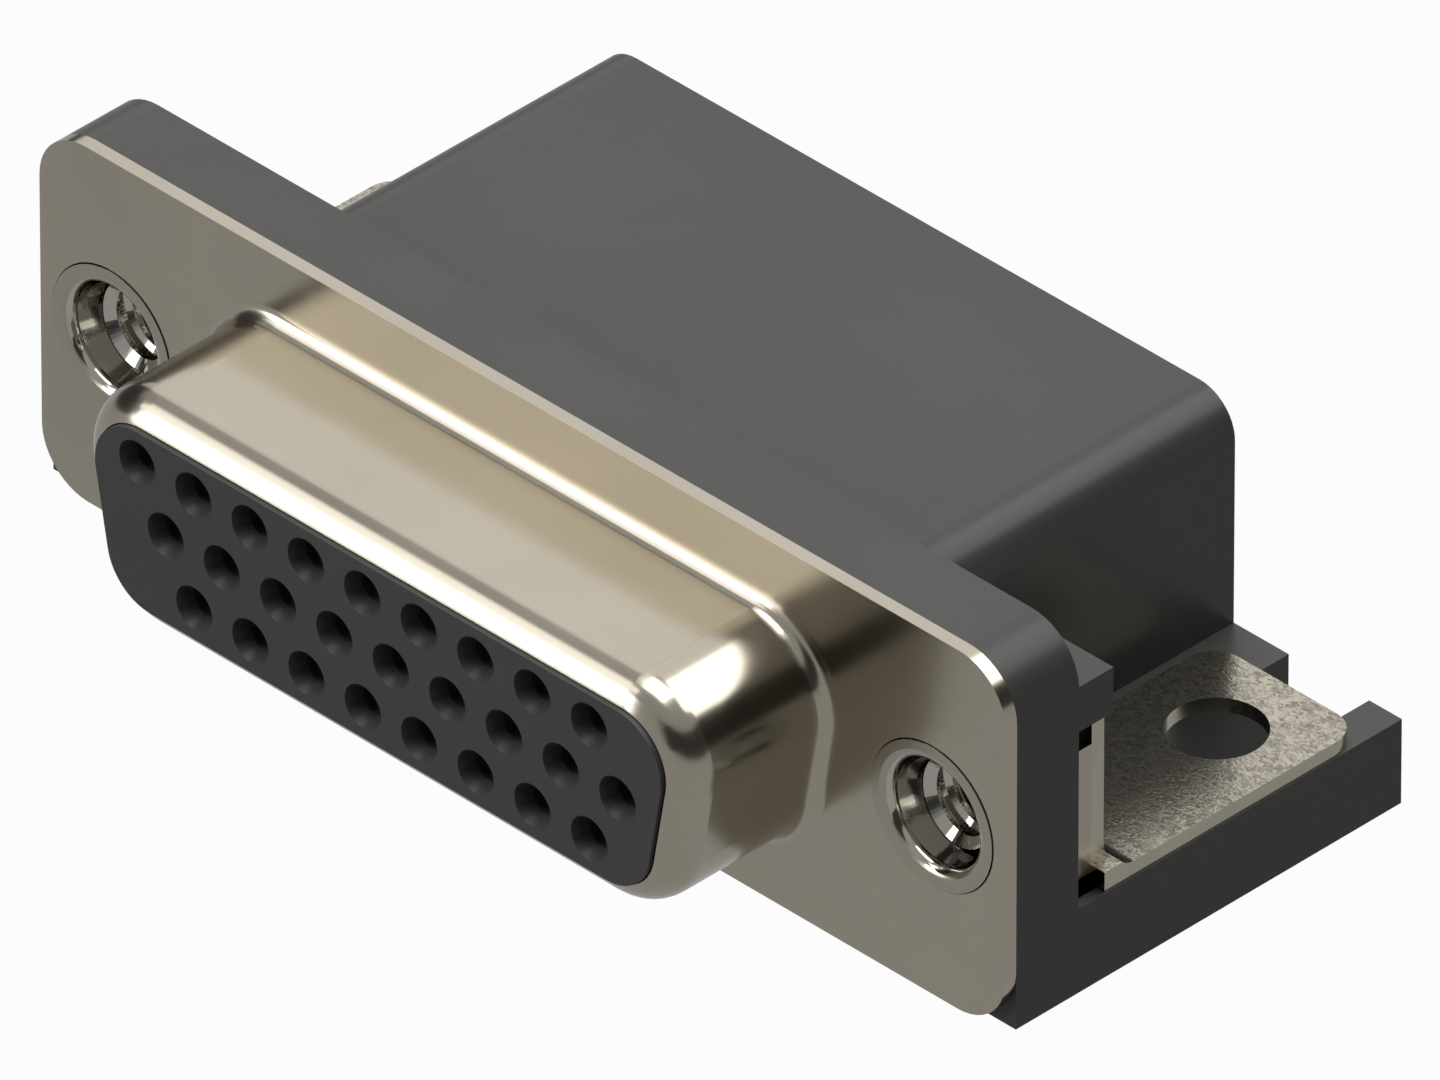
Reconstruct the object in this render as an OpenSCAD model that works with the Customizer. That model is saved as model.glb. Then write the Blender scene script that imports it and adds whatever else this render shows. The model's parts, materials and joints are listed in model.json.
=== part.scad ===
// Right-angle D-sub receptacle, 26 positions in three rows, for a printed circuit board.
// The front faces -Y, the board lies under Z = 0, and Y = 0 is the line through the board holes.

/* [Flange] */
// Width of the flange, side to side
flange_w = 39.14; // [38.5:0.1:48]
// Height of the flange
flange_h = 12.5; // [12:0.1:15]
// Corner radius of the flange
flange_corner_r = 1.9; // [0.8:0.1:2.5]
// Thickness of the moulded flange behind the shell
moulded_flange_t = 2.5; // [1.8:0.1:4]
// Distance from the moulded flange's front face back to the board holes
setback = 11.1; // [9.5:0.1:13]

/* [Shell] */
// Thickness of the shell's sheet
sheet_t = 0.445; // [0.3:0.05:0.6]
// How far the nose stands out in front of the shell's flange
nose_reach = 5.6; // [4.5:0.1:7]
// Width of the nose at its mid height
nose_w = 24.3; // [23.8:0.1:25]
// Height of the nose
nose_h = 7.86; // [7.6:0.05:8.4]
// Height of the nose's centre above the board
nose_z = 6.2; // [6:0.1:7]
// Lean of the nose's sides
nose_lean = 10; // [5:1:14]
// Corner radius of the nose's outline
nose_corner_r = 2.6; // [2:0.1:3]
// Radius of the nose's front edge
nose_edge_r = 1.15; // [0.9:0.05:1.3]
// Radius where the nose meets the flange
nose_root_r = 0.5; // [0.3:0.05:0.8]

/* [Contacts] */
// Spacing along a row
pitch = 2.29; // [2.2:0.01:2.4]
// Spacing between rows
row_pitch = 1.98; // [1.9:0.01:2.2]
// Radius of the hole that a pin enters
pin_hole_r = 0.5; // [0.42:0.01:0.55]
// Mouth radius of that hole's lead-in
pin_mouth_r = 0.74; // [0.6:0.01:0.85]
// Outer radius of the contact's barrel
barrel_r = 0.62; // [0.55:0.01:0.68]
// Wall of the barrel
barrel_wall = 0.2; // [0.12:0.01:0.25]
// Radius of the wire-like tail
tail_r = 0.28; // [0.2:0.01:0.35]
// Length of the tails under the board plane
tail_drop = 3.2; // [2.4:0.1:4.5]
// Spacing between the rows of tails in the board
tail_row_pitch = 2.54; // [2.54:0.01:2.6]

/* [Housing] */
// Width of the hood
hood_w = 25.66; // [25:0.1:26.4]
// Top of the hood above the board
hood_h = 10.76; // [10.4:0.1:11.6]
// Distance from the moulded flange's front face to the hood's back
hood_back = 15.67; // [15.2:0.1:19]
// Radius of the hood's two top edges
hood_edge_r = 1.43; // [0.6:0.05:1.8]
// Wall of the hood
hood_wall = 1.0; // [0.7:0.05:1.2]
// Height of the two side bases
base_h = 2.95; // [2.4:0.05:3.6]
// Width of the slot for the board screw
screw_slot_w = 3.22; // [3.1:0.02:3.6]
// Underside of the ledge that caps the bracket
ledge_z = 9.13; // [9:0.01:9.6]
// Height of that ledge
ledge_h = 1.57; // [1:0.05:2]
// Depth of that ledge behind the flange
ledge_d = 1.38; // [1.2:0.02:1.5]

/* [Brackets and inserts] */
// Spacing of the inserts and of the board holes
fixing_spacing = 33.3; // [33:0.1:33.6]
// Height of the inserts' axes above the board
insert_z = 6.22; // [6.1:0.02:6.4]
// Thickness of the bracket's sheet
bracket_t = 0.5; // [0.4:0.05:0.8]
// Radius of the board hole in the bracket
board_hole_r = 1.525; // [1.4:0.025:1.6]
// Nominal radius of the insert's thread
thread_r = 1.42; // [1.3:0.02:1.5]
// Radius of the insert's sleeve
sleeve_r = 2.0; // [1.9:0.02:2.1]
// Radius of the insert's swaged front head
head_r = 2.41; // [2.3:0.01:2.6]

/* [Fits] */
// Gap between plastic parts that slide together
moulding_gap = 0.06; // [0.03:0.01:0.1]
// Gap between the insulator's face and the shell's lip
lip_gap = 0.04; // [0.02:0.01:0.08]
// Radial gap round contacts and inserts
turned_gap = 0.05; // [0.02:0.01:0.06]
// Gap between the bracket and the ledge above it
seat_gap = 0.07; // [0.05:0.01:0.2]

/* [Hidden] */
$fn = 48;

// One entry a row, from the top: contacts, first place on the row's grid, direction of stagger
ROWS = [[9, 0, -1], [9, 0, 1], [8, 1, -1]];
GRID_MIDDLE = 4;
CONTACTS = [
    for (row = [0:len(ROWS) - 1], i = [0:ROWS[row][0] - 1])
        [(i + ROWS[row][1] - GRID_MIDDLE + ROWS[row][2] / 4) * pitch, nose_z + (1 - row) * row_pitch, row]
];
function contact_name(i) = str("contact_", i < 9 ? "0" : "", i + 1);

// Colours
NICKEL = [0.62, 0.60, 0.54];
BLACK_RESIN = [0.16, 0.16, 0.17];
GOLD = [0.83, 0.66, 0.30];

// Heights in front of the moulded flange's front face
shell_reach = nose_reach + sheet_t;
face_stand = 0.125;
face_reach = shell_reach + face_stand;

// How much each surface of the nose's straight sides stands above that of its turned corners
side_proud = 0.003;

// Height of each step under the shell's lip
lip_step = 0.3;

// The insulator's steps, as insets from the nose's outline
face_inset = 0.87;
block_inset = sheet_t + moulding_gap;
collar_grow = 1.3;
collar_t = 1.0;
block_step = shell_reach - nose_edge_r - moulding_gap;
block_tail = 2;
block_back = moulded_flange_t + block_tail;

// Depths in the contact holes, measured from the insulator's face
lead_in = 0.5;
barrel_start = 1.25;
barrel_len = 4.6;
socket_depth = 3.9;
slit_len = 2.6;
slit_w = 0.14;
barrel_bore_r = barrel_r + turned_gap;
retainer_r = barrel_bore_r - 0.01;
retainer_len = 1.2;
neck_len = 0.9;
neck_r = 0.42;
tail_bend_r = 0.8;
tip_len = 0.5;

// The floor and the organiser under the hood
floor_t = 1.4;
organiser_margin = 1.6;
organiser_front = setback - tail_row_pitch - organiser_margin;
organiser_back = hood_back - hood_wall - moulding_gap;
organiser_half_w = hood_w / 2 - hood_wall - moulding_gap;
organiser_hole_r = tail_r + turned_gap;
organiser_flare = 0.3;
nub_len = 1.6;
nub_h = 0.5;
nub_reach = 0.35;

// The bracket, as distances from the flange's front face and from the insert's axis
collar_plate_t = 1.12;
leg_front = moulded_flange_t + collar_plate_t;
leg_half_w = 2.33;
foot_gap_right = 0.05;
foot_gap_left = -0.13;
foot_inner_gap = 0.77;
foot_back_gap = 1.62;
foot_corner_r = 1.0;
stub_h = 0.68;
bend_r = 0.7;
pocket_wall = 0.37;
pocket_depth = 1.7;
pocket_past_leg = 0.35;

// The insert
head_proud = 0.04;
head_depth = min(sheet_t, head_r - sleeve_r);
head_slope = (head_r - sleeve_r) / head_depth;
head_seat_r = head_r + 0.04;
seat_bore_r = sleeve_r + 0.005;
seat_depth = (head_seat_r - seat_bore_r) / head_slope;
head_land = 0.29;
mouth_round_r = 0.38;
funnel_depth = 0.95;
sleeve_hole_r = sleeve_r + turned_gap;
rear_rim_r = 2.05;
rear_rim_t = 0.25;
rim_clearance = 0.015;
rear_neck_r = 1.85;
collar_lift = 0.43;
collar_half_h = insert_z - base_h - collar_lift;
collar_corner_w = 0.5;
collar_corner_h = 1.2;

// ---- Shared shapes ----

// Puts a shape that is drawn from the flange's front face and from X = 0 into the board's frame
module on_flange() {
    translate([0, -setback, 0]) children();
}

// Stands a shape drawn in XY, with its height along Z, on the flange's front face so that it faces -Y
module facing_front() {
    on_flange() rotate([90, 0, 0]) children();
}

// A rectangle with its four corners rounded
module rounded_rectangle(w, h, r) {
    square([w - 2 * r, h], center = true);
    square([w, h - 2 * r], center = true);
    for (x = [-1, 1], y = [-1, 1])
        translate([x * (w / 2 - r), y * (h / 2 - r)]) circle(r);
}

// Centre of the nose's corner at height y above the nose's centre
function corner_x(y) = nose_w / 2 + (y * sin(nose_lean) - nose_corner_r) / cos(nose_lean);
corner_y = nose_h / 2 - nose_corner_r;
CORNERS = [
    [corner_x(-corner_y), -corner_y],
    [corner_x(corner_y), corner_y],
    [-corner_x(corner_y), corner_y],
    [-corner_x(-corner_y), -corner_y]
];
// Outward directions of the bottom, right, top, left and again the bottom side
NORMALS = [-90, -nose_lean, 90, 180 + nose_lean, 270];
function on_circle(r, angle) = [r * cos(angle), r * sin(angle)];

// The nose's outline, larger by grow all round
module nose_outline(grow = 0) {
    r = nose_corner_r + grow;
    translate([0, nose_z]) {
        polygon([
            for (i = [0:3], turn = [0, 1]) CORNERS[i] + on_circle(r, NORMALS[i + turn])
        ]);
        for (corner = CORNERS) translate(corner) circle(r);
    }
}

module nose_block(grow, from, to) {
    facing_front() translate([0, 0, from]) linear_extrude(to - from) nose_outline(grow);
}

// ---- Shell ----

// Section of the nose at a side, filled to its middle: x outwards from the corner's centre, y forwards
module nose_section(grow) {
    side_x = nose_corner_r + grow;
    edge_r = nose_edge_r + grow;
    edge_y = shell_reach - nose_edge_r;
    root = [nose_corner_r + nose_root_r, sheet_t + nose_root_r + side_proud];
    square([side_x, edge_y]);
    translate([0, edge_y]) square([side_x - edge_r, edge_r]);
    translate([side_x - edge_r, edge_y]) intersection() {
        circle(edge_r);
        square(edge_r);
    }
    difference() {
        square(root + [grow, 0]);
        translate(root) circle(nose_root_r - grow);
    }
}

// The nose as a solid. The corners are turned, and the sides between them are bars that stand a hair
// prouder, which keeps their surfaces apart.
module nose_solid() {
    translate([0, nose_z]) for (i = [0:3]) {
        next = (i + 1) % 4;
        translate(CORNERS[i]) rotate_extrude() nose_section(0);
        translate(CORNERS[next]) rotate(NORMALS[i + 1]) rotate([90, 0, 0])
            linear_extrude(norm(CORNERS[next] - CORNERS[i])) nose_section(side_proud);
    }
    linear_extrude(shell_reach - nose_edge_r) nose_outline(-nose_corner_r / 2);
}

// The hole for an insert's head: a cone, and a short bore under it where the sheet is thick
module head_seat() {
    translate([0, 0, sheet_t - seat_depth])
        cylinder(h = seat_depth, r1 = seat_bore_r, r2 = head_seat_r);
    translate([0, 0, -1]) cylinder(h = sheet_t - seat_depth + 1, r = seat_bore_r);
}

// The flange with the nose formed out of it. Inside, the nose is cut in two steps up to its rounded lip.
module front_shell() {
    under = -0.5;
    lip_z = shell_reach - nose_edge_r;
    color(NICKEL) difference() {
        facing_front() difference() {
            union() {
                linear_extrude(sheet_t)
                    translate([0, flange_h / 2]) rounded_rectangle(flange_w, flange_h, flange_corner_r);
                nose_solid();
            }
            for (side = [-1, 1]) translate([side * fixing_spacing / 2, insert_z]) head_seat();
        }
        nose_block(-sheet_t, under, lip_z + lip_step);
        nose_block(-sheet_t - lip_step / 2, under, lip_z + 2 * lip_step);
        nose_block(lip_gap - face_inset, under, shell_reach + 1);
    }
}

// ---- Insulator ----

module contact_hole(at) {
    translate([at[0], at[1], 0]) {
        translate([0, 0, face_reach - lead_in])
            cylinder(h = lead_in, r1 = pin_hole_r, r2 = pin_mouth_r);
        translate([0, 0, -block_back])
            cylinder(h = face_reach + block_back - lead_in, r = pin_hole_r);
        translate([0, 0, -block_back])
            cylinder(h = face_reach + block_back - barrel_start + turned_gap, r = barrel_bore_r);
    }
}

module front_insulator() {
    color(BLACK_RESIN) difference() {
        union() {
            nose_block(-face_inset, 0, face_reach);
            nose_block(-block_inset, -block_back, block_step);
            nose_block(collar_grow, -collar_t, 0);
        }
        facing_front() for (at = CONTACTS) contact_hole(at);
    }
}

// ---- Contacts ----

module along_back(from, len, r) {
    translate([0, from, 0]) rotate([-90, 0, 0]) cylinder(h = len, r = r);
}

module contact(i) {
    at = CONTACTS[i];
    front = barrel_start - face_reach;
    neck_y = front + barrel_len;
    retainer_y = neck_y + neck_len;
    shank_y = retainer_y + retainer_len;
    drop_y = setback + (1 - at[2]) * tail_row_pitch;
    socket_r = barrel_r - barrel_wall;
    color(GOLD) on_flange() translate([at[0], 0, at[1]]) {
        difference() {
            along_back(front, barrel_len, barrel_r);
            along_back(front, socket_depth, socket_r);
            for (turn = [0, 90])
                translate([0, front + slit_len / 2, 0]) rotate([0, turn, 0])
                    cube([slit_w, slit_len, 3 * barrel_r], center = true);
        }
        along_back(neck_y, neck_len, neck_r);
        along_back(retainer_y, retainer_len, retainer_r);
        along_back(shank_y, drop_y - tail_bend_r - shank_y, tail_r);
        translate([0, drop_y - tail_bend_r, -tail_bend_r]) rotate([0, -90, 0])
            rotate_extrude(angle = 90) translate([tail_bend_r, 0]) circle(tail_r);
        translate([0, drop_y, -at[1] - tail_drop]) {
            cylinder(h = tip_len, r1 = tail_r / 2, r2 = tail_r);
            translate([0, 0, tip_len]) cylinder(h = at[1] + tail_drop - tail_bend_r - tip_len, r = tail_r);
        }
    }
}

// ---- Housing ----

module hood_solid() {
    translate([-hood_w / 2, 0, 0]) cube([hood_w, hood_back, hood_h - hood_edge_r]);
    translate([-hood_w / 2 + hood_edge_r, 0, 0]) cube([hood_w - 2 * hood_edge_r, hood_back, hood_h]);
    for (side = [-1, 1])
        translate([side * (hood_w / 2 - hood_edge_r), 0, hood_h - hood_edge_r])
            rotate([-90, 0, 0]) cylinder(h = hood_back, r = hood_edge_r);
}

module moulded_flange() {
    top = flange_h - flange_corner_r;
    translate([-flange_w / 2, 0, 0]) cube([flange_w, moulded_flange_t, top]);
    translate([-flange_w / 2 + flange_corner_r, 0, 0])
        cube([flange_w - 2 * flange_corner_r, moulded_flange_t, flange_h]);
    for (side = [-1, 1])
        translate([side * (flange_w / 2 - flange_corner_r), 0, top])
            rotate([-90, 0, 0]) cylinder(h = moulded_flange_t, r = flange_corner_r);
}

// One side base with its slot for the board screw and its pocket under the bracket's bend, for the +X side
module side_base() {
    difference() {
        translate([hood_w / 2 - hood_wall / 2, 0, 0])
            cube([flange_w / 2 - hood_w / 2 + hood_wall / 2, hood_back, base_h]);
        translate([fixing_spacing / 2, setback, -1]) cylinder(h = base_h + 2, d = screw_slot_w);
        translate([fixing_spacing / 2 - screw_slot_w / 2, setback, -1])
            cube([screw_slot_w, hood_back, base_h + 2]);
        translate([fixing_spacing / 2 - leg_half_w, moulded_flange_t, base_h - pocket_depth])
            cube([
                flange_w / 2 - pocket_wall - fixing_spacing / 2 + leg_half_w,
                leg_front + pocket_past_leg - moulded_flange_t,
                pocket_depth + 1
            ]);
    }
}

module ledge() {
    translate([hood_w / 2 - hood_wall / 2, 0, ledge_z])
        cube([flange_w / 2 - hood_w / 2 + hood_wall / 2, moulded_flange_t + ledge_d, ledge_h]);
}

module rear_housing() {
    cavity_w = hood_w - 2 * hood_wall;
    color(BLACK_RESIN) difference() {
        on_flange() {
            moulded_flange();
            hood_solid();
            side_base();
            ledge();
            mirror([1, 0, 0]) {
                side_base();
                ledge();
            }
        }
        on_flange() {
            translate([-cavity_w / 2, moulded_flange_t, floor_t])
                cube([cavity_w, hood_back - hood_wall - moulded_flange_t, hood_h - hood_wall - floor_t]);
            translate([-cavity_w / 2, organiser_front - moulding_gap, -1])
                cube([cavity_w, hood_back - hood_wall - organiser_front + moulding_gap, floor_t + 2]);
            for (side = [-1, 1])
                translate([side * cavity_w / 2, setback, floor_t / 2])
                    cube([2 * nub_reach, nub_len, nub_h] + 2 * moulding_gap * [1, 1, 1], center = true);
        }
        nose_block(collar_grow + moulding_gap, -collar_t, 1);
        nose_block(moulding_gap - block_inset, -block_back - moulding_gap, 0);
        facing_front() for (side = [-1, 1])
            translate([side * fixing_spacing / 2, insert_z, -moulded_flange_t - 1])
                cylinder(h = moulded_flange_t + 2, r = sleeve_hole_r);
    }
}

module tail_organiser() {
    color(BLACK_RESIN) on_flange() difference() {
        union() {
            translate([-organiser_half_w, organiser_front, 0])
                cube([2 * organiser_half_w, organiser_back - organiser_front, floor_t]);
            for (side = [-1, 1])
                translate([side * organiser_half_w, setback, floor_t / 2])
                    cube([2 * nub_reach, nub_len, nub_h], center = true);
        }
        for (at = CONTACTS)
            translate([at[0], setback + (1 - at[2]) * tail_row_pitch, 0]) {
                translate([0, 0, -1]) cylinder(h = floor_t + 2, r = organiser_hole_r);
                translate([0, 0, floor_t - organiser_flare])
                    cylinder(
                        h = organiser_flare,
                        r1 = organiser_hole_r,
                        r2 = organiser_hole_r + organiser_flare
                    );
            }
    }
}

// ---- Bracket, for the +X side. Its foot ends side_gap inside the side of the flange ----

module bracket_foot(side_gap) {
    inner = hood_w / 2 + foot_inner_gap;
    outer = flange_w / 2 - side_gap;
    back = hood_back - foot_back_gap;
    translate([0, 0, base_h]) linear_extrude(bracket_t) difference() {
        union() {
            translate([inner, leg_front]) square([outer - inner, back - foot_corner_r - leg_front]);
            translate([inner + foot_corner_r, leg_front])
                square([outer - inner - 2 * foot_corner_r, back - leg_front]);
            for (x = [inner + foot_corner_r, outer - foot_corner_r])
                translate([x, back - foot_corner_r]) circle(foot_corner_r);
        }
        translate([fixing_spacing / 2, setback]) circle(board_hole_r);
    }
}

// Inside corner of the bend: a bar from x = from to x = to with a hollow rounded face, which ends
// under the insert's rear rim
module bend_fill(from, to) {
    r = min(bend_r, insert_z - rear_rim_r - rim_clearance - base_h - bracket_t);
    translate([from, leg_front + bracket_t, base_h + bracket_t]) rotate([90, 0, 90])
        linear_extrude(to - from) difference() {
            square(r);
            translate([r, r]) circle(r);
        }
}

// The leg and the bend under it. Beside the leg, the bend runs on to the foot's outer side, cut off low.
module bracket_leg(side_gap) {
    middle = fixing_spacing / 2;
    top = ledge_z - seat_gap;
    width = flange_w / 2 - side_gap - middle + leg_half_w;
    difference() {
        union() {
            translate([middle - leg_half_w, leg_front, base_h]) cube([width, bracket_t, top - base_h]);
            bend_fill(middle - leg_half_w, middle - leg_half_w + width);
        }
        translate([middle + leg_half_w, leg_front - 1, base_h + stub_h]) cube([width, bend_r + 2, top]);
        translate([middle, leg_front - 1, insert_z]) rotate([-90, 0, 0])
            cylinder(h = bracket_t + 2, r = rear_neck_r + turned_gap);
    }
}

module bracket(side_gap) {
    color(NICKEL) on_flange() {
        bracket_foot(side_gap);
        bracket_leg(side_gap);
    }
}

module bracket_right() {
    bracket(foot_gap_right);
}

module bracket_left() {
    mirror([1, 0, 0]) bracket(foot_gap_left);
}

// ---- Threaded insert, drawn along Z with its front up, for the +X side ----

module insert_body() {
    back = -leg_front - bracket_t;
    rotate_extrude() polygon([
        [0, back - rear_rim_t],
        [rear_rim_r, back - rear_rim_t],
        [rear_rim_r, back],
        [rear_neck_r, back],
        [rear_neck_r, -leg_front],
        [sleeve_r, -leg_front],
        [sleeve_r, sheet_t - head_depth],
        [head_r, sheet_t],
        [head_r, sheet_t + head_proud],
        [0, sheet_t + head_proud]
    ]);
    translate([0, 0, -leg_front]) linear_extrude(collar_plate_t) difference() {
        square([2 * leg_half_w, 2 * collar_half_h], center = true);
        translate([leg_half_w - collar_corner_w, collar_half_h - collar_corner_h])
            square([leg_half_w, collar_half_h]);
    }
}

module insert_bore() {
    front = sheet_t + head_proud;
    mouth_r = head_r - head_land;
    throat_r = mouth_r - mouth_round_r;
    length = leg_front + bracket_t + rear_rim_t + front;
    translate([0, 0, front - length - 1]) cylinder(h = length + 1, r = thread_r);
    translate([0, 0, front - mouth_round_r - funnel_depth])
        cylinder(h = funnel_depth, r1 = thread_r, r2 = throat_r);
    translate([0, 0, front - mouth_round_r]) rotate_extrude() difference() {
        square([mouth_r, mouth_round_r + 1]);
        translate([mouth_r, 0]) circle(mouth_round_r);
    }
}

module threaded_insert() {
    color(NICKEL) facing_front() translate([fixing_spacing / 2, insert_z, 0]) difference() {
        insert_body();
        insert_bore();
    }
}

module threaded_insert_right() {
    threaded_insert();
}

module threaded_insert_left() {
    mirror([1, 0, 0]) threaded_insert();
}

front_shell();
front_insulator();
rear_housing();
tail_organiser();
bracket_left();
bracket_right();
threaded_insert_left();
threaded_insert_right();
for (i = [0:len(CONTACTS) - 1])
    contact(i);
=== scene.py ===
import json
import math

import bmesh
import bpy
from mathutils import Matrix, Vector


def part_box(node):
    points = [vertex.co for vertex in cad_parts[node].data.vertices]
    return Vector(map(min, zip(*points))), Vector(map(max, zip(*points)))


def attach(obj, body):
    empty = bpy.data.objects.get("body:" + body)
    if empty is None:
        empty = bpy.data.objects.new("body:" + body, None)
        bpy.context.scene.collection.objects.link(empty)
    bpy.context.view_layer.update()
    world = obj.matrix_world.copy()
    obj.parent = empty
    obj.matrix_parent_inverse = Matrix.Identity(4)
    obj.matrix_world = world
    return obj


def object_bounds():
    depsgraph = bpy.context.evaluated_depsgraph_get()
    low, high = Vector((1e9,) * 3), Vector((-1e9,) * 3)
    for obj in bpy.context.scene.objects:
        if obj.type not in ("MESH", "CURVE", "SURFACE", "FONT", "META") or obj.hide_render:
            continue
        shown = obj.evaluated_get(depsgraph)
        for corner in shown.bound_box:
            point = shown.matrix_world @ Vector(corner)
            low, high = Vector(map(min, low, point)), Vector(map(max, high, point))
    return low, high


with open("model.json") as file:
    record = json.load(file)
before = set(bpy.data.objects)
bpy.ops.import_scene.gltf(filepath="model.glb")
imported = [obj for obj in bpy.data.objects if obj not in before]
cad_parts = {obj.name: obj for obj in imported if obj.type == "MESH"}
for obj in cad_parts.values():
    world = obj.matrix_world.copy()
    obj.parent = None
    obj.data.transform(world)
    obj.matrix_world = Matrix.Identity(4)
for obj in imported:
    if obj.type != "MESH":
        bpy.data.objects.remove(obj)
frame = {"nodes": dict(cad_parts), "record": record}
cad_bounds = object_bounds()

MM = 0.001
record = frame["record"]
mounts = {mount["name"]: mount for mount in record["mounts"]}


# ---- Camera ----

VIEW_CENTRE = Vector((2.918, -6.343, 6.348)) * MM
VIEW_FROM = Vector((1, -1, 1)).normalized()
VIEW_WIDTH = 41.2 * MM
LENS = 1200
SENSOR_WIDTH = 36


def make_camera():
    """A long lens that looks down on the front right corner along a cube's diagonal."""
    data = bpy.data.cameras.new("camera")
    data.lens = LENS
    data.sensor_width = SENSOR_WIDTH
    camera = bpy.data.objects.new("camera", data)
    distance = VIEW_WIDTH * LENS / SENSOR_WIDTH
    camera.location = VIEW_CENTRE + VIEW_FROM * distance
    camera.rotation_euler = VIEW_FROM.to_track_quat("Z", "Y").to_euler()
    bpy.context.collection.objects.link(camera)
    bpy.context.scene.camera = camera


# ---- Small helpers for materials ----

class Shader:
    """A node tree under construction: its nodes, and short ways to add and join them."""

    def __init__(self, tree):
        self.tree = tree
        tree.nodes.clear()

    def node(self, kind, **settings):
        made = self.tree.nodes.new(kind)
        for name, value in settings.items():
            setattr(made, name, value)
        return made

    def put(self, socket, value):
        """Joins an output to a socket, or sets the socket to a plain value."""
        if isinstance(value, bpy.types.NodeSocket):
            self.tree.links.new(value, socket)
        else:
            socket.default_value = value

    def math(self, operation, a, b=0.0):
        made = self.node("ShaderNodeMath", operation=operation)
        self.put(made.inputs[0], a)
        self.put(made.inputs[1], b)
        return made.outputs[0]

    def blend(self, fac, a, b):
        made = self.node("ShaderNodeMix", data_type="RGBA")
        self.put(made.inputs[0], fac)
        self.put(made.inputs[6], a)
        self.put(made.inputs[7], b)
        return made.outputs[2]

    def spread(self, value, low, high, to_low, to_high):
        made = self.node("ShaderNodeMapRange", clamp=True)
        for socket, number in zip(made.inputs, (value, low, high, to_low, to_high)):
            self.put(socket, number)
        return made.outputs[0]

    def noise(self, where, scale, **settings):
        """A noise texture. Detail, Roughness and the like are given by their socket's name."""
        made = self.node("ShaderNodeTexNoise")
        self.put(made.inputs["Vector"], where)
        self.put(made.inputs["Scale"], scale)
        for name, value in settings.items():
            made.inputs[name].default_value = value
        return made.outputs["Fac"]

    def stretched(self, where, scale):
        made = self.node("ShaderNodeMapping")
        self.put(made.inputs["Vector"], where)
        made.inputs["Scale"].default_value = scale
        return made.outputs[0]

    def split(self, vector):
        made = self.node("ShaderNodeSeparateXYZ")
        self.put(made.inputs[0], vector)
        return made.outputs

    def bump(self, height, distance, strength=1.0):
        made = self.node("ShaderNodeBump")
        made.inputs["Strength"].default_value = strength
        made.inputs["Distance"].default_value = distance
        self.put(made.inputs["Height"], height)
        return made.outputs[0]

    def effect(self, tree, where, scale):
        """Places a shared effect at a scale, and gives its mask."""
        made = self.node("ShaderNodeGroup", node_tree=tree)
        self.put(made.inputs["Where"], where)
        made.inputs["Scale"].default_value = scale
        return made.outputs["Mask"]


def new_material(name):
    """A material with an empty finish: its node tree, the place on the object, and the surface."""
    material = bpy.data.materials.new(name)
    material.use_nodes = True
    shader = Shader(material.node_tree)
    where = shader.node("ShaderNodeTexCoord").outputs["Object"]
    surface = shader.node("ShaderNodeBsdfPrincipled")
    out = shader.node("ShaderNodeOutputMaterial")
    shader.put(out.inputs["Surface"], surface.outputs[0])
    return material, shader, where, surface


def grey(value):
    return (value, value, value, 1.0)


# ---- Effects that several finishes share ----

def new_effect(name):
    """An empty effect: a place and a scale go in, and a mask from 0 to 1 comes out."""
    tree = bpy.data.node_groups.new(name, "ShaderNodeTree")
    tree.interface.new_socket("Where", in_out="INPUT", socket_type="NodeSocketVector")
    tree.interface.new_socket("Scale", in_out="INPUT", socket_type="NodeSocketFloat")
    tree.interface.new_socket("Mask", in_out="OUTPUT", socket_type="NodeSocketFloat")
    shader = Shader(tree)
    given = shader.node("NodeGroupInput").outputs
    mask = shader.node("NodeGroupOutput").inputs["Mask"]
    return tree, shader, given["Where"], given["Scale"], mask


def make_cloud_effect():
    """Slow, soft patches, as thin plating and resin flow leave them."""
    tree, shader, where, scale, mask = new_effect("cloud")
    patches = shader.noise(where, scale, Detail=4.0, Roughness=0.6)
    shader.put(mask, shader.spread(patches, 0.3, 0.7, 0.0, 1.0))
    return tree


def make_grain_effect():
    """Close, even relief, as a blasted tool or a rolled sheet leaves it."""
    tree, shader, where, scale, mask = new_effect("grain")
    shader.put(mask, shader.noise(where, scale, Detail=2.0, Roughness=0.6))
    return tree


cloud_effect = make_cloud_effect()
grain_effect = make_grain_effect()


# ---- Metals ----

def make_shell_nickel():
    """Tin-nickel plate on drawn sheet: satin, with a faint grain and slightly cloudy colour."""
    material, shader, where, surface = new_material("shell_nickel")
    cloud = shader.effect(cloud_effect, where, 160)
    grain = shader.effect(grain_effect, where, 9000)
    colour = shader.blend(cloud, (0.358, 0.327, 0.27, 1), (0.386, 0.353, 0.292, 1))
    shader.put(surface.inputs["Base Color"], colour)
    surface.inputs["Metallic"].default_value = 1.0
    clouded = shader.spread(cloud, 0, 1, 0.16, 0.2)
    grained = shader.math("MULTIPLY", grain, 0.03)
    shader.put(surface.inputs["Roughness"], shader.math("ADD", clouded, grained))
    shader.put(surface.inputs["Normal"], shader.bump(grain, 0.0005 * MM, 0.15))
    return material


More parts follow.
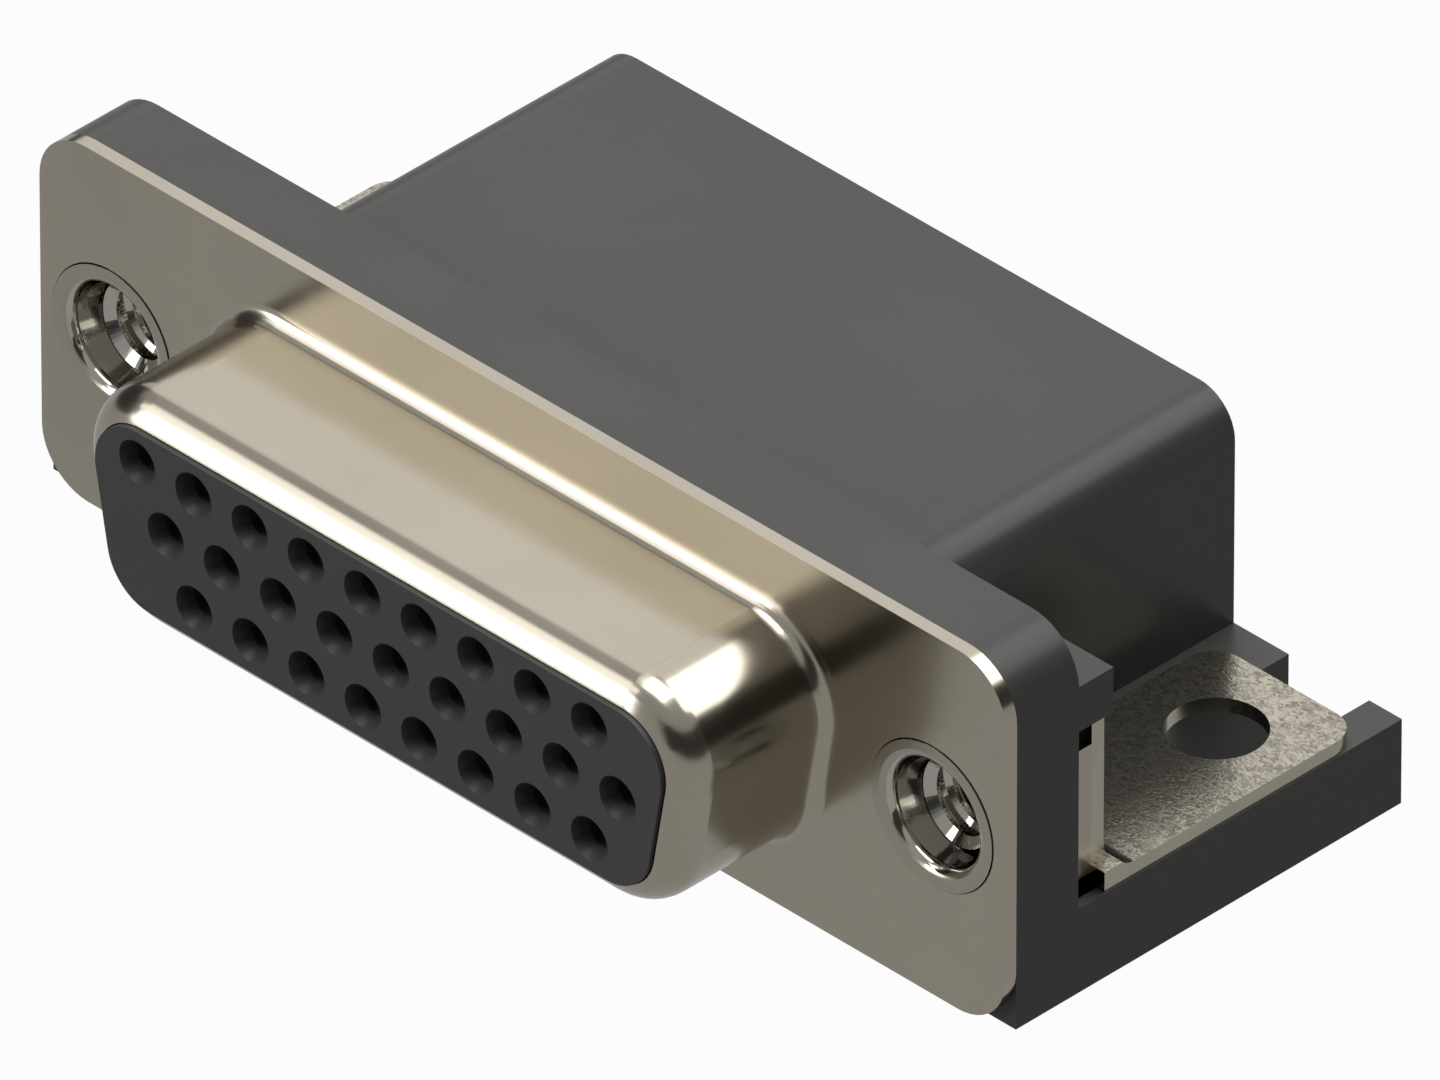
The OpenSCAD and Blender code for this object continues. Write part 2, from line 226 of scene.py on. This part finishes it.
def make_bracket_nickel():
    """Nickel plate over hot-rolled sheet: worm-like grain on rolled faces, smooth on cut sides."""
    material, shader, where, surface = new_material("bracket_nickel")
    cloud = shader.effect(cloud_effect, where, 300)
    along = shader.stretched(where, (1, 1.6, 1))
    worms = shader.noise(along, 4000, Detail=2.0, Roughness=0.6, Distortion=1.2)
    facing = shader.split(shader.node("ShaderNodeNewGeometry").outputs["True Normal"])
    rolled = shader.math("LESS_THAN", shader.math("ABSOLUTE", facing["X"]), 0.5)
    ridges = shader.math("MULTIPLY", shader.spread(worms, 0.32, 0.68, 0.0, 1.0), rolled)
    plate = shader.blend(cloud, (0.36, 0.335, 0.275, 1), (0.4, 0.372, 0.305, 1))
    pits = shader.math("MULTIPLY", shader.spread(worms, 0.36, 0.6, 0.85, 0.0), rolled)
    shader.put(surface.inputs["Base Color"], shader.blend(pits, plate, (0.13, 0.121, 0.094, 1)))
    surface.inputs["Metallic"].default_value = 1.0
    shader.put(surface.inputs["Roughness"], shader.spread(ridges, 0, 1, 0.22, 0.16))
    shader.put(surface.inputs["Normal"], shader.bump(ridges, 0.006 * MM, 0.4))
    return material


INSERT_SATIN_FROM = 1.9 * MM


def make_insert_nickel():
    """Bright nickel in a turned insert's funnel and bore, and satin on its flat head and outside."""
    material, shader, where, surface = new_material("insert_nickel")
    cloud = shader.effect(cloud_effect, where, 400)
    place = shader.split(where)
    low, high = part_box("threaded_insert_right")
    across = shader.math("SUBTRACT", shader.math("ABSOLUTE", place["X"]), (low[0] + high[0]) / 2)
    up = shader.math("SUBTRACT", place["Z"], (low[2] + high[2]) / 2)
    squares = shader.math("ADD", shader.math("POWER", across, 2), shader.math("POWER", up, 2))
    outside = shader.math("GREATER_THAN", shader.math("SQRT", squares), INSERT_SATIN_FROM)
    facing = shader.split(shader.node("ShaderNodeNewGeometry").outputs["True Normal"])
    head = shader.math("LESS_THAN", facing["Y"], -0.95)
    satin = shader.math("MAXIMUM", head, outside)
    bright = shader.blend(cloud, (0.39, 0.376, 0.34, 1), (0.45, 0.433, 0.39, 1))
    shader.put(surface.inputs["Base Color"], shader.blend(satin, bright, (0.345, 0.317, 0.262, 1)))
    surface.inputs["Metallic"].default_value = 1.0
    rough = shader.spread(cloud, 0, 1, 0.08, 0.13)
    rough = shader.math("ADD", rough, shader.math("MULTIPLY", satin, 0.12))
    shader.put(surface.inputs["Roughness"], rough)
    marks = shader.noise(shader.stretched(where, (1, 12, 1)), 1500, Detail=2.0)
    shader.put(surface.inputs["Normal"], shader.bump(marks, 0.002 * MM, 0.3))
    return material


TIN_BELOW = 1.2 * MM
GOLD_ABOVE = 1.8 * MM


def make_contact_gold():
    """Thin gold on the sockets, which gives way to tin on the tails."""
    material, shader, where, surface = new_material("contact_gold")
    tin = shader.spread(shader.split(where)["Z"], TIN_BELOW, GOLD_ABOVE, 1.0, 0.0)
    cloud = shader.effect(cloud_effect, where, 900)
    tin_colour = shader.blend(cloud, (0.44, 0.43, 0.41, 1), (0.55, 0.54, 0.51, 1))
    gold_colour = shader.blend(cloud, (0.55, 0.38, 0.13, 1), (0.66, 0.47, 0.18, 1))
    shader.put(surface.inputs["Base Color"], shader.blend(tin, gold_colour, tin_colour))
    surface.inputs["Metallic"].default_value = 1.0
    shader.put(surface.inputs["Roughness"], shader.spread(cloud, 0, 1, 0.2, 0.32))
    return material


# ---- Plastics ----

RESIN_CLOUD = 0.9
RESIN_SPECULAR = 0.22


def make_black_resin(name, colour, low_rough, high_rough):
    """Glass-filled black resin off a fine-textured mould: a close grain and faint flow clouds."""
    material, shader, where, surface = new_material(name)
    cloud = shader.effect(cloud_effect, where, 120)
    grain = shader.effect(grain_effect, where, 14000)
    light = colour + (1.0,)
    dark = tuple(RESIN_CLOUD * part for part in colour) + (1.0,)
    shader.put(surface.inputs["Base Color"], shader.blend(cloud, dark, light))
    shader.put(surface.inputs["Roughness"], shader.spread(cloud, 0, 1, low_rough, high_rough))
    shader.put(surface.inputs["Normal"], shader.bump(grain, 0.004 * MM, 0.35))
    surface.inputs["Specular IOR Level"].default_value = RESIN_SPECULAR
    return material


# ---- Threads in the inserts ----

THREAD_PITCH = 0.635 * MM
THREAD_DEPTH = 0.28 * MM
THREAD_START = 1.1 * MM
THREAD_FOOT = 0.3 * MM
THREAD_CREST = 0.06 * MM
THREAD_ROOTED = 0.02 * MM
STEPS_A_TURN = 64


def finish_piece(mesh, name, material):
    """Turns a bmesh into a piece of the given material that rides with the body."""
    data = bpy.data.meshes.new(name)
    mesh.to_mesh(data)
    mesh.free()
    data.materials.append(material)
    piece = bpy.data.objects.new(name, data)
    bpy.context.collection.objects.link(piece)
    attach(piece, "root")


def make_thread(side):
    """The ridge of the insert's thread: a four-cornered section screwed along the bore."""
    mount = mounts["thread_" + side]
    low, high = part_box("threaded_insert_" + side)
    centre = (Vector(low) + Vector(high)) / 2
    wall_r = mount["dims"]["r_mm"] * MM
    start = low[1] + THREAD_START
    turns = (high[1] - THREAD_PITCH / 2 - start) / THREAD_PITCH
    section = [
        (wall_r + THREAD_ROOTED, -THREAD_FOOT),
        (wall_r - THREAD_DEPTH, -THREAD_CREST),
        (wall_r - THREAD_DEPTH, THREAD_CREST),
        (wall_r + THREAD_ROOTED, THREAD_FOOT),
    ]
    steps = round(turns * STEPS_A_TURN)
    mesh = bmesh.new()
    corners = [mesh.verts.new((centre.x + r, start + y, centre.z)) for r, y in section]
    loop = [mesh.edges.new(pair) for pair in zip(corners, corners[1:] + corners[:1])]
    made = bmesh.ops.spin(
        mesh, geom=corners + loop, cent=centre, axis=(0, 1, 0),
        dvec=(0, turns * THREAD_PITCH / steps, 0), angle=turns * math.tau,
        steps=steps, use_merge=False,
    )
    last = [part for part in made["geom_last"] if isinstance(part, bmesh.types.BMEdge)]
    bmesh.ops.contextual_create(mesh, geom=loop)
    bmesh.ops.contextual_create(mesh, geom=last)
    bmesh.ops.recalc_face_normals(mesh, faces=mesh.faces)
    finish_piece(mesh, "thread_" + side, materials["insert_nickel"])


# ---- Floor, light and background ----

FLOOR_SIZE = 6.0
FLOOR_GREY = 0.07
FLOOR_GLOW_SHARE = 0.97
MIRRORED_WHITE = 0.56
MIRRORED_DARK = 0.02
SKY_LIGHT = 0.06
LAMP_DISTANCE = 0.6
LAMP_POWER_FACTOR = 4

# Each lamp's direction, its half-angles across and up in degrees, and its radiance.
SOFTBOXES = {
    "softbox_front_left": ((-0.577, -0.79, 0.2), (10, 19), 4.0),
    "softbox_front_high": ((-0.577, -0.52, 0.63), (10, 11), 1.7),
    "softbox_back_left": ((-1, 1, 1), (22, 22), 0.65),
    "softbox_back_right": ((0.211, 0.577, 0.789), (22, 15), 3.0),
    "softbox_overhead": ((-0.1, 0, 1), (20, 20), 3.6),
}


def white_by_ray(shader, mirrored_strength):
    """Full white where the camera looks, and a calmer white in reflections. Gives both masks too."""
    rays = shader.node("ShaderNodeLightPath").outputs
    mirrored = shader.math("MAXIMUM", rays["Is Glossy Ray"], rays["Is Transmission Ray"])
    calmer = shader.math("MULTIPLY", mirrored, mirrored_strength)
    strength = shader.math("MAXIMUM", rays["Is Camera Ray"], calmer)
    return strength, rays["Is Camera Ray"], mirrored


def make_floor():
    """A floor that shows as the white background, takes a faint shadow, and is clear from below."""
    mesh = bmesh.new()
    bmesh.ops.create_grid(mesh, x_segments=1, y_segments=1, size=FLOOR_SIZE / 2)
    bmesh.ops.translate(mesh, verts=mesh.verts, vec=(0, 0, cad_bounds[0][2]))
    data = bpy.data.meshes.new("floor")
    mesh.to_mesh(data)
    mesh.free()
    material = bpy.data.materials.new("floor")
    material.use_nodes = True
    shader = Shader(material.node_tree)
    strength, seen, mirrored = white_by_ray(shader, MIRRORED_WHITE)
    card = shader.node("ShaderNodeBsdfDiffuse")
    card.inputs["Color"].default_value = grey(FLOOR_GREY)
    glow = shader.node("ShaderNodeEmission")
    glow.inputs["Color"].default_value = grey(1.0)
    shader.put(glow.inputs["Strength"], strength)
    mix = shader.node("ShaderNodeMixShader")
    glow_share = shader.math("MULTIPLY", seen, FLOOR_GLOW_SHARE)
    shader.put(mix.inputs[0], shader.math("MAXIMUM", glow_share, mirrored))
    shader.put(mix.inputs[1], card.outputs[0])
    shader.put(mix.inputs[2], glow.outputs[0])
    one_way = shader.node("ShaderNodeMixShader")
    shader.put(one_way.inputs[0], shader.node("ShaderNodeNewGeometry").outputs["Backfacing"])
    shader.put(one_way.inputs[1], mix.outputs[0])
    shader.put(one_way.inputs[2], shader.node("ShaderNodeBsdfTransparent").outputs[0])
    out = shader.node("ShaderNodeOutputMaterial")
    shader.put(out.inputs["Surface"], one_way.outputs[0])
    data.materials.append(material)
    floor = bpy.data.objects.new("floor", data)
    bpy.context.collection.objects.link(floor)


def make_world():
    """White to the eye, a grey sky for its light, and in reflections a pale room with dark ends."""
    world = bpy.data.worlds.new("studio")
    world.use_nodes = True
    bpy.context.scene.world = world
    shader = Shader(world.node_tree)
    towards = shader.split(shader.node("ShaderNodeTexCoord").outputs["Generated"])
    right = shader.spread(towards["X"], 0.05, 0.35, 0.0, 1.0)
    left = shader.spread(towards["X"], -0.8, -0.72, 1.0, 0.0)
    low = shader.spread(towards["Z"], 0.5, 0.6, 1.0, 0.0)
    dark = shader.math("MULTIPLY", shader.math("MAXIMUM", left, right), low)
    room = shader.spread(dark, 0.0, 1.0, MIRRORED_WHITE, MIRRORED_DARK)
    strength = white_by_ray(shader, room)[0]
    sky = shader.node("ShaderNodeBackground")
    sky.inputs["Color"].default_value = grey(1.0)
    shader.put(sky.inputs["Strength"], shader.math("MAXIMUM", strength, SKY_LIGHT))
    out = shader.node("ShaderNodeOutputWorld")
    shader.put(out.inputs["Surface"], sky.outputs[0])


def make_softbox(name, towards, half_angles, radiance):
    """A rectangular lamp in the direction given, turned to the object."""
    width, height = (2 * LAMP_DISTANCE * math.tan(math.radians(angle)) for angle in half_angles)
    data = bpy.data.lights.new(name, "AREA")
    data.shape = "RECTANGLE"
    data.size = width
    data.size_y = height
    data.energy = LAMP_POWER_FACTOR * radiance * width * height
    lamp = bpy.data.objects.new(name, data)
    direction = Vector(towards).normalized()
    lamp.location = VIEW_CENTRE + direction * LAMP_DISTANCE
    lamp.rotation_euler = direction.to_track_quat("Z", "Y").to_euler()
    bpy.context.collection.objects.link(lamp)


# ---- Put together ----

bpy.context.scene.view_settings.view_transform = "Standard"
make_camera()
make_world()
make_floor()
for name, (towards, half_angles, radiance) in SOFTBOXES.items():
    make_softbox(name, towards, half_angles, radiance)

materials = {
    "shell_nickel": make_shell_nickel(),
    "bracket_nickel": make_bracket_nickel(),
    "insert_nickel": make_insert_nickel(),
    "contact_gold": make_contact_gold(),
    "housing_black": make_black_resin("housing_black", (0.0575, 0.0565, 0.0535), 0.3, 0.36),
    "insulator_black": make_black_resin("insulator_black", (0.067, 0.067, 0.066), 0.34, 0.42),
}
slots = {part["node"]: part["material_slot"] for part in record["subparts"]}
for name, node in frame["nodes"].items():
    for place in node.material_slots:
        place.material = materials[slots[name]]

for side in ("left", "right"):
    make_thread(side)
